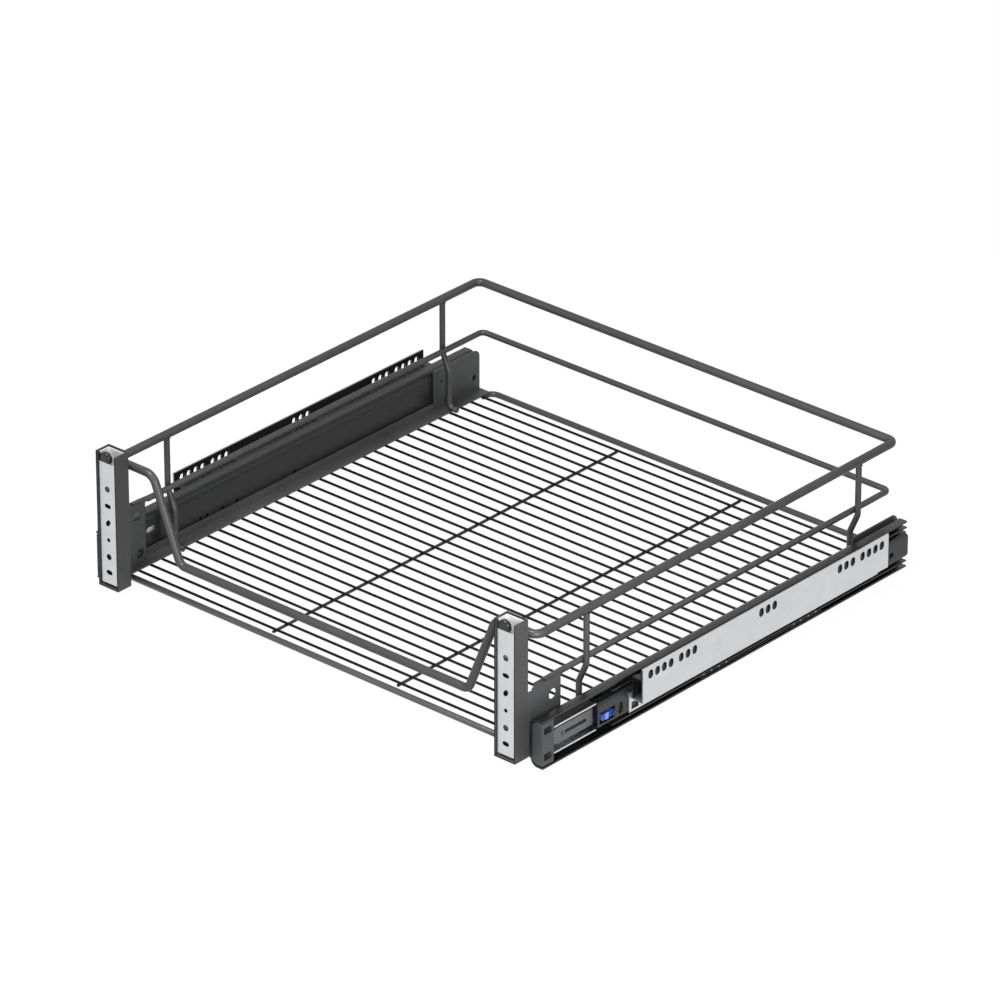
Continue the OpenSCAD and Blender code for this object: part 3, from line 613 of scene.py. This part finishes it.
def rim_line():
    """Centre line of the top rim: round the basket, and down through the dip at the front."""
    return bend_line([
        (RIM_X, RIM_FRONT_Y, RIM_Z, RIM_FRONT_BEND), (RIM_X, RIM_BACK_Y, RIM_Z, RIM_REAR_BEND),
        (-RIM_X, RIM_BACK_Y, RIM_Z, RIM_REAR_BEND), (-RIM_X, RIM_FRONT_Y, RIM_Z, RIM_FRONT_BEND),
        (-LEG_X, RIM_FRONT_Y, RIM_Z, DIP_TOP_BEND), (-DIP_X, RIM_FRONT_Y, DIP_Z, DIP_LOW_BEND),
        (DIP_X, RIM_FRONT_Y, DIP_Z, DIP_LOW_BEND), (LEG_X, RIM_FRONT_Y, RIM_Z, DIP_TOP_BEND),
    ], closed=True, steps=16)


def middle_line():
    """Centre line of the middle rail: along both sides and across the back."""
    return bend_line([
        (MID_X, MID_FRONT_Y, MID_Z, 0.0), (MID_X, MID_BACK_Y, MID_Z, MID_BEND),
        (-MID_X, MID_BACK_Y, MID_Z, MID_BEND), (-MID_X, MID_FRONT_Y, MID_Z, 0.0),
    ], steps=14)


def upright_line(side, y):
    """Centre line of an upright: down from the rim, inward past the slide, and a foot on the flange."""
    knee_x = CARRIER_EDGE_X + RAIL_D / 2
    foot_z = FLANGE_Z + RAIL_D / 2
    return bend_line([
        (side * UPRIGHT_X, y, RIM_Z - UPRIGHT_TOP_DROP, 0.0),
        (side * UPRIGHT_X, y, UPRIGHT_BEND_Z, UPRIGHT_BEND), (side * knee_x, y, KNEE_Z, UPRIGHT_BEND),
        (side * knee_x, y, foot_z, FOOT_BEND), (side * (CARRIER_EDGE_X - FOOT_LENGTH), y, foot_z, 0.0),
    ], steps=10)


def back_rod_line():
    """Centre line of the rear base rod: two short legs forward and one run across the back."""
    leg_x = CARRIER_EDGE_X + BACK_LEG_OVER
    leg_y = GRID_BACK_Y + BACK_LEG_GAP
    return bend_line([
        (leg_x, leg_y, BASE_ROD_Z, 0.0), (leg_x, BASE_BACK_Y, BASE_ROD_Z, BASE_BEND),
        (-leg_x, BASE_BACK_Y, BASE_ROD_Z, BASE_BEND), (-leg_x, leg_y, BASE_ROD_Z, 0.0),
    ])


def support_wire(x):
    """One straight wire along Y under the grid."""
    front = (x, GRID_FRONT_Y - SUPPORT_FRONT_OVER, SUPPORT_Z)
    back = (x, GRID_BACK_Y + SUPPORT_BACK_OVER, SUPPORT_Z)
    return tube([front, back], SUPPORT_D / 2, SUPPORT_SIDES)


def grid_wire(y):
    """One straight wire along X, from carrier to carrier."""
    end_x = CARRIER_EDGE_X + GRID_OVER
    return tube([(-end_x, y, GRID_Z), (end_x, y, GRID_Z)], GRID_D / 2, GRID_SIDES)


def make_rods():
    """The basket's rods and wires, each bent from one centre line."""
    rod_r = RAIL_D / 2
    rim = tube(rim_line(), RIM_D / 2, RIM_SIDES, closed=True)
    new_piece("rim_rod", rim, ROD_PAINT, "basket", ["top_rim"])
    middle = tube(middle_line(), rod_r, ROD_SIDES)
    new_piece("middle_rail_rod", middle, ROD_PAINT, "basket", ["mid_rail"])
    uprights = [tube(upright_line(side, y), rod_r, ROD_SIDES) for _, side in SIDES for y in UPRIGHT_YS]
    new_piece("upright_rods", together(uprights), ROD_PAINT, "basket", ["uprights"])
    ends = [(side * FRONT_ROD_END_X, BASE_FRONT_Y, BASE_ROD_Z) for _, side in SIDES]
    front = tube(ends, rod_r, ROD_SIDES)
    new_piece("front_base_rod", front, FRONT_ROD_PAINT, "basket", ["front_rod"])
    back = tube(back_rod_line(), rod_r, ROD_SIDES)
    new_piece("rear_base_rod", back, ROD_PAINT, "basket", ["back_rod"])
    supports = together([support_wire(side * SUPPORT_X) for _, side in SIDES])
    new_piece("support_wire_pair", supports, SUPPORT_PAINT, "basket", ["support_wires"])
    wires = together([grid_wire(GRID_FRONT_Y + i * GRID_PITCH) for i in range(GRID_COUNT)])
    new_piece("grid_wire_rows", wires, GRID_PAINT, "basket", ["grid_wires"])


def bead(centre, ring_r, bead_r, steps=24, sides=8):
    """Weld bead, a torus round Z: centre + (ring_r + w cos s)(cos t, sin t, 0) + (0, 0, w sin s),
    where the width w is bead_r (1 + BEAD_SWELL sin(BEAD_WAVES t)), as a bead laid in steps."""
    t = np.linspace(0, 2 * math.pi, steps, endpoint=False)[:, None]
    s = np.linspace(0, 2 * math.pi, sides, endpoint=False)[None]
    width = bead_r * (1 + BEAD_SWELL * np.sin(BEAD_WAVES * t))
    reach = ring_r + width * np.cos(s)
    rings = np.stack([reach * np.cos(t), reach * np.sin(t), width * np.sin(s)], -1)
    return ring_faces(np.asarray(centre, float) + rings, closed_along=True)


def make_welds():
    """Beads where the uprights meet the rim above and the middle rail beside them."""
    top_z = RIM_Z - RIM_D / 2 + TOP_BEAD_LIFT
    seam_x = (UPRIGHT_X + MID_X) / 2
    seam_zs = (MID_Z - SEAM_SHIFT, MID_Z + SEAM_SHIFT)
    feet = [(side, y) for _, side in SIDES for y in UPRIGHT_YS]
    beads = [bead((side * UPRIGHT_X, y, top_z), RAIL_D / 2, TOP_BEAD_R) for side, y in feet]
    beads += [bead((side * seam_x, y, z), SEAM_RING_R, SEAM_BEAD_R) for side, y in feet for z in seam_zs]
    new_piece("weld_beads", together(beads), ROD_PAINT, "basket")


def make_tongues():
    """Front ends of the middle rail, pressed flat on the ears' flanges: ellipses along Y whose
    middle, half width and half height go from the tongue's to the rod's by the smooth step
    u u (3 - 2 u), where u runs from 0 to 1 over TONGUE_STEP_LENGTH."""
    y = np.linspace(TONGUE_FRONT_Y, TONGUE_BACK_Y, TONGUE_ROWS)[:, None]
    u = np.clip((y - TONGUE_STEP_Y) / TONGUE_STEP_LENGTH, 0.0, 1.0)
    step = u * u * (3 - 2 * u)
    rod_r = RAIL_D / 2 + TONGUE_OVER
    half_w = TONGUE_HALF_W + (rod_r - TONGUE_HALF_W) * step
    half_h = TONGUE_HALF_H + (rod_r - TONGUE_HALF_H) * step
    s = np.linspace(0, 2 * math.pi, ROD_SIDES, endpoint=False)[None]
    for side_name, side in SIDES:
        x = side * (TONGUE_X + (MID_X - TONGUE_X) * step) + half_w * np.cos(s)
        z = TONGUE_Z + (MID_Z - TONGUE_Z) * step + half_h * np.sin(s)
        shape = ring_faces(np.stack([x, y + 0 * s, z], -1))
        new_piece(f"middle_rail_tongue_{side_name}", shape, ROD_PAINT, "basket")


# Caps of the posts, and painted highlights on the levers

CAP_R, CAP_ROUND, CAP_FRONT_Y, CAP_BACK_Y = 5.5, 1.6, 1.5, 6.2
CAP_LOW_Z, CAP_HEAD_Z, CAP_SHIFT_X = 110.2, 112.8, 2.85
CAP_ROWS, CAP_ARC_POINTS = 7, 25
BACK_ZS, BACK_HALF_W = ((6.0, 20.0), (36.0, 80.0)), 7.0
BACK_FRONT_Y, BACK_REAR_Y = 3.3, 4.3
LEVER_FACE_X, LEVER_Z, PATCH_Y = 236.6, 13.3, 85.6
PATCH_PROUD, PATCH_HALF_L, PATCH_HALF_H = 0.2, 1.9, 2.7


def make_caps():
    """Round-headed caps: a bar's outline with a half-round top, carried from front to back, and
    drawn in by CAP_ROUND (1 - sin a) at CAP_ROUND (1 - cos a) from each end. Flat backs of the same
    plastic stand behind the front plate's slots, but not behind its two screw holes."""
    a = np.linspace(0, math.pi / 2, CAP_ROWS)
    ahead = CAP_ROUND * (1 - np.cos(a))
    inset = CAP_ROUND * (1 - np.sin(a))
    y = np.concatenate([CAP_FRONT_Y + ahead, CAP_BACK_Y - ahead[::-1]])[:, None]
    radius = (CAP_R - np.concatenate([inset, inset[::-1]]))[:, None]
    t = np.linspace(0, math.pi, CAP_ARC_POINTS)
    wide = np.concatenate([np.cos(t), [-1.0, 1.0]])[None]
    high = np.concatenate([np.sin(t), [0.0, 0.0]])[None]
    base = np.concatenate([np.zeros(CAP_ARC_POINTS), [1.0, 1.0]])[None]
    for side_name, side in SIDES:
        post_x = side * POST_X
        x = post_x - CAP_SHIFT_X + radius * wide
        z = CAP_HEAD_Z + radius * high + (CAP_LOW_Z - CAP_HEAD_Z) * base
        backs = [
            bar((post_x - BACK_HALF_W, BACK_FRONT_Y, low), (post_x + BACK_HALF_W, BACK_REAR_Y, high_z))
            for low, high_z in BACK_ZS
        ]
        shape = together([ring_faces(np.stack([x, y + 0 * wide, z], -1))] + backs)
        new_piece(f"post_cap_{side_name}_insert", shape, CAP_PLASTIC, "basket",
                  [f"post_cap_{side_name}"])


def make_lever_highlights():
    """Painted highlight on the outer face of each blue lever: a flat light blue box, PATCH_PROUD above
    the face.
    """
    for side_name, side in SIDES:
        face_x = side * LEVER_FACE_X
        low = (face_x - PATCH_PROUD, PATCH_Y - PATCH_HALF_L, LEVER_Z - PATCH_HALF_H)
        high = (face_x + PATCH_PROUD, PATCH_Y + PATCH_HALF_L, LEVER_Z + PATCH_HALF_H)
        new_piece(f"lever_patch_{side_name}", bar(low, high), PAINTED_HIGHLIGHT_BLUE,
                  f"release_lever_{side_name}")


make_rods()
make_welds()
make_tongues()
make_caps()
make_lever_highlights()


# Sheet parts: a merged copy of the CAD solid with its edges broken

MERGE_DISTANCE, FLAT_ANGLE = 2e-6, 0.6
SHEET_SMOOTH_ANGLE, BROKEN_ANGLE, BROKEN_SEGMENTS = 35, 40, 2
PLATE_HALF_W, PLATE_BAND, PLATE_GAP, PLATE_LIFT = 9.35, 0.3, 1.1, 2.4


def cut_faces(mesh, axis, low, high, area):
    """1 for the faces under area square millimetres whose normal's part along axis lies between
    low and high, which are cut edges, and 0 for all others."""
    normals = np.empty(3 * len(mesh.polygons))
    areas = np.empty(len(mesh.polygons))
    mesh.polygons.foreach_get("normal", normals)
    mesh.polygons.foreach_get("area", areas)
    along = normals.reshape(-1, 3)[:, axis]
    return ((along > low) & (along < high) & (areas < area * MM * MM)).astype(np.int32)


def trim_plate(mesh):
    """Draws the long edges of a front plate in by PLATE_GAP and lifts its lower edge by PLATE_LIFT,
    for the dark line round it: only points on those edges move, so the holes keep their shape."""
    points = np.empty(3 * len(mesh.vertices))
    mesh.vertices.foreach_get("co", points)
    points = points.reshape(-1, 3)
    middle = np.sign(points[:, 0].mean()) * POST_X * MM
    out = points[:, 0] - middle
    on_edge = np.abs(out) > (PLATE_HALF_W - PLATE_BAND) * MM
    points[on_edge, 0] -= np.sign(out[on_edge]) * PLATE_GAP * MM
    low = points[:, 2] < points[:, 2].min() + PLATE_BAND * MM
    points[low, 2] += PLATE_LIFT * MM
    mesh.vertices.foreach_set("co", points.ravel())
    mesh.update()


def sheet_piece(name, node, material, edge, cut=None, trim=None):
    """Merged copy of a CAD node whose edges are rounded by a bevel of edge millimetres.

    cut is what cut_faces takes after the mesh, and its faces get painted shade. trim changes the merged
    mesh.
    """
    source = frame["nodes"][node]
    mesh = source.data.copy()
    mesh.name = name
    solid = bmesh.new()
    solid.from_mesh(mesh)
    bmesh.ops.remove_doubles(solid, verts=solid.verts, dist=MERGE_DISTANCE)
    bmesh.ops.dissolve_limit(
        solid, angle_limit=math.radians(FLAT_ANGLE), verts=solid.verts, edges=solid.edges)
    solid.to_mesh(mesh)
    solid.free()
    if trim:
        trim(mesh)
    mesh.materials.clear()
    mesh.materials.append(material)
    mesh.polygons.foreach_set("use_smooth", np.ones(len(mesh.polygons), bool))
    dark = np.zeros(len(mesh.polygons), np.int32)
    # Faces that cut_faces picks get the painted shade material
    if cut:
        mesh.materials.append(PAINTED_SHADE_EDGE)
        dark = cut_faces(mesh, *cut)
    mesh.polygons.foreach_set("material_index", dark)
    mesh.set_sharp_from_angle(angle=math.radians(SHEET_SMOOTH_ANGLE))
    piece = bpy.data.objects.new(name, mesh)
    bpy.context.scene.collection.objects.link(piece)
    broken = piece.modifiers.new("broken_edges", "BEVEL")
    broken.width = edge * MM
    broken.segments = BROKEN_SEGMENTS
    broken.limit_method = "ANGLE"
    broken.angle_limit = math.radians(BROKEN_ANGLE)
    broken.use_clamp_overlap = True
    broken.harden_normals = True
    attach(piece, source["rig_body"])
    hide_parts(node)
    return piece


# Part, word for the piece's name, material, slot, width of the broken edge
SHEET_PARTS = [
    ("carrier", "angle", LIT_CARRIER_PAINT, "sheet", 0.3),
    ("front_ear", "plate", SHEET_PAINT, "sheet", 0.3),
    ("rear_ear", "plate", SHEET_PAINT, "sheet", 0.3),
    ("post", "channel", POST_PAINT, "posts", 0.12),
    ("post_liner", "channel", LINER_ZINC, "zinc", 0.25),
    ("front_plate", "strip", ZINC, "zinc", 0.2),
    ("drawer_rail", "profile", RAIL_BLACK, "rails", 0.25),
    ("end_stop", "cap", STOP_PLASTIC, "soft_stop", 0.3),
    ("catch_channel", "profile", CHANNEL_ZINC, "zinc", 0.2),
    ("damper", "body", DAMPER_PLASTIC, "soft_stop", 0.3),
    ("middle_rail", "profile", CABINET_BLACK, "rails", 0.2),
    ("cabinet_rail", "profile", CABINET_BLACK, "cabinet_rails", 0.2),
    ("bracket", "sheet", ZINC, "zinc", 0.2),
    ("cover", "sheet", COVER_BLACK, "rails", 0.2),
    ("latch_base", "block", BLACK_PLASTIC, "black_plastic", 0.3),
    ("release_lever", "grip", BLUE_PLASTIC, "blue_plastic", 0.4),
]
# Axis, lowest and highest part of the normal along it, and largest area, for cut_faces, whose faces get
# painted shade
CUTS = {
    "post": (1, -1.1, -0.5, 1e4),
    "post_liner": (1, -1.1, -0.5, 300.0),
    "front_plate": (1, -0.5, 0.5, 20.0),
    "bracket": (0, -0.5, 0.5, 20.0),
}
TRIMS = {"front_plate": trim_plate}
for part, word, material, slot, edge in SHEET_PARTS:
    for side_name, _ in SIDES:
        name = f"{part}_{side_name}_{word}"
        node = f"{part}_{side_name}"
        sheet_piece(name, node, material, edge, CUTS.get(part), TRIMS.get(part))


def dress(node, material):
    """A CAD node keeps its shape and gets a material of its own."""
    mesh = frame["nodes"][node].data
    mesh.materials.clear()
    mesh.materials.append(material)


for side_name, _ in SIDES:
    dress(f"catch_slider_{side_name}", DAMPER_PLASTIC)
    dress(f"outer_cage_{side_name}", CAGE_PAINTED_SHADE)
    dress(f"inner_cage_{side_name}", CAGE_PAINTED_SHADE)
    dress(f"outer_balls_{side_name}", BALL_STEEL)
    dress(f"inner_balls_{side_name}", BALL_STEEL)
dress("bracket_rivets", FITTING_ZINC)
dress("latch_pins", PIN_STEEL)
